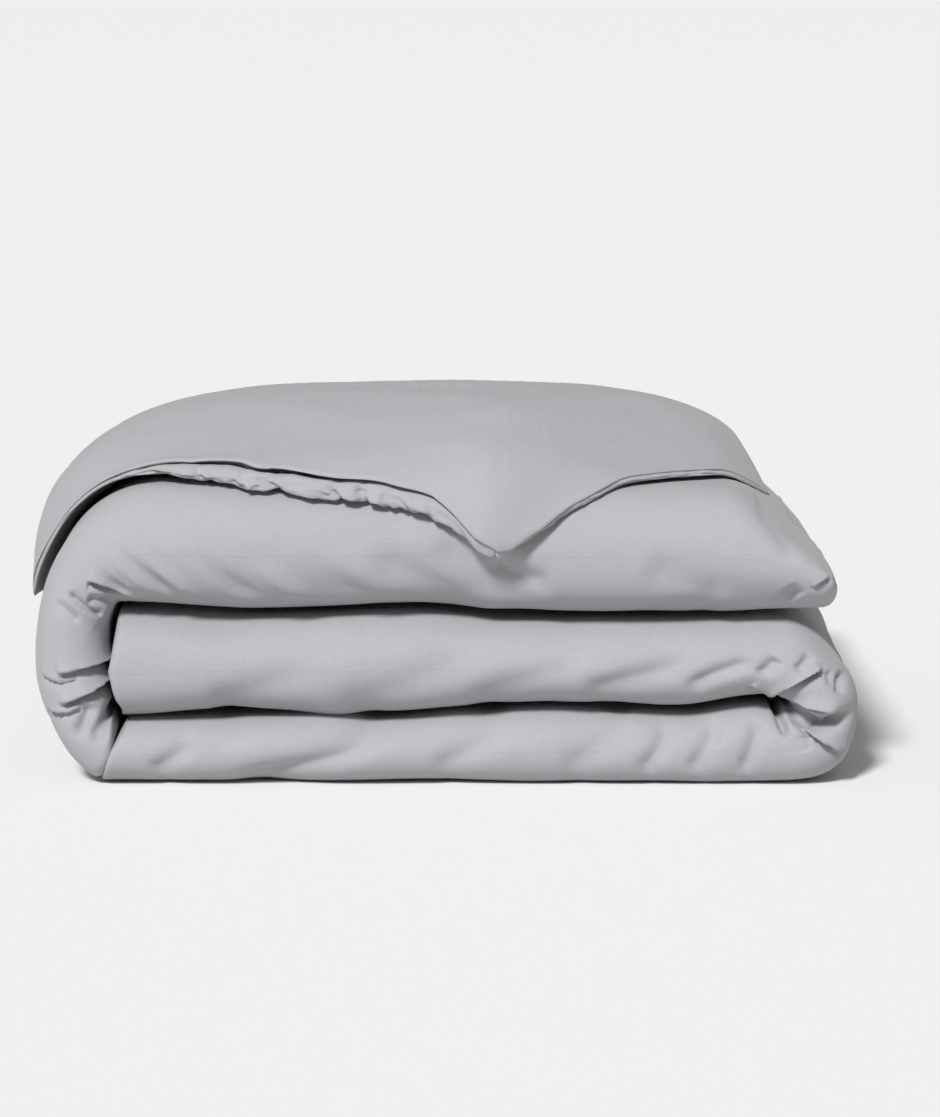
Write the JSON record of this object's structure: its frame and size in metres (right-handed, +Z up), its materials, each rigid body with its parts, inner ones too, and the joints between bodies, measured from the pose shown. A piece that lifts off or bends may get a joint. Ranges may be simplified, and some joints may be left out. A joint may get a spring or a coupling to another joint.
{
  "type": "folded duvet",
  "caption": "Single duvet in a plain cotton cover, folded into a soft pile; the upper leaf unfolds and the hanging top corner lifts.",
  "frame": {"origin": "centre of the pile's bounding box in plan, on the surface the pile lies on", "axes": "+X to the right along the pile's length, towards the free end of the upper leaf; +Y from the front, where the corner hangs, to the back; +Z up"},
  "size_m": [0.6001, 0.464, 0.268],
  "materials": {
    "cover_cotton": "plain light grey cotton percale, matt",
    "insert_cotton": "white cotton casing",
    "wadding": "white hollow-fibre wadding",
    "button_resin": "grey resin",
    "cotton_tape": "white cotton tape"
  },
  "bodies": {
    "folded_base": {"button_1": "button_resin", "button_2": "button_resin", "button_3": "button_resin", "button_4": "button_resin", "button_5": "button_resin", "button_6": "button_resin", "care_label": "cotton_tape", "closure_placket_face": "cover_cotton", "closure_placket_under": "cover_cotton", "corner_tie_inner_back": "cotton_tape", "corner_tie_inner_front": "cotton_tape", "cover_left_fold_lower": "cover_cotton", "cover_lower_leaf": "cover_cotton", "cover_middle_leaf": "cover_cotton", "cover_right_fold": "cover_cotton", "insert_casing_left_fold_lower": "insert_cotton", "insert_casing_lower_leaf": "insert_cotton", "insert_casing_middle_leaf": "insert_cotton", "insert_casing_right_fold": "insert_cotton", "insert_filling_left_fold_lower": "wadding", "insert_filling_lower_leaf": "wadding", "insert_filling_middle_leaf": "wadding", "insert_filling_right_fold": "wadding", "insert_seam_inner_end": "insert_cotton"},
    "upper_leaf": {"cover_left_fold_upper": "cover_cotton", "cover_upper_leaf": "cover_cotton", "insert_casing_left_fold_upper": "insert_cotton", "insert_casing_upper_leaf": "insert_cotton", "insert_filling_left_fold_upper": "wadding", "insert_filling_upper_leaf": "wadding", "insert_seam_outer_end": "insert_cotton", "cover_seam_outer_end": "cover_cotton", "corner_tie_outer_back": "cotton_tape"},
    "hanging_corner": {"corner_cover": "cover_cotton", "corner_end_hem": "cover_cotton", "corner_insert": "insert_cotton", "corner_side_hem": "cover_cotton"}
  },
  "joints": [
    {"name": "upper_leaf_unfold", "type": "hinge", "parent": "folded_base", "child": "upper_leaf", "pos_m": [-0.3003, 0, 0.134], "axis": [0, -1, 0], "range_deg": [0, 180]},
    {"name": "corner_lift", "type": "hinge", "parent": "upper_leaf", "child": "hanging_corner", "pos_m": [0, -0.2225, 0.2235], "axis": [-1, 0, 0], "range_deg": [0, 110]}
  ]
}
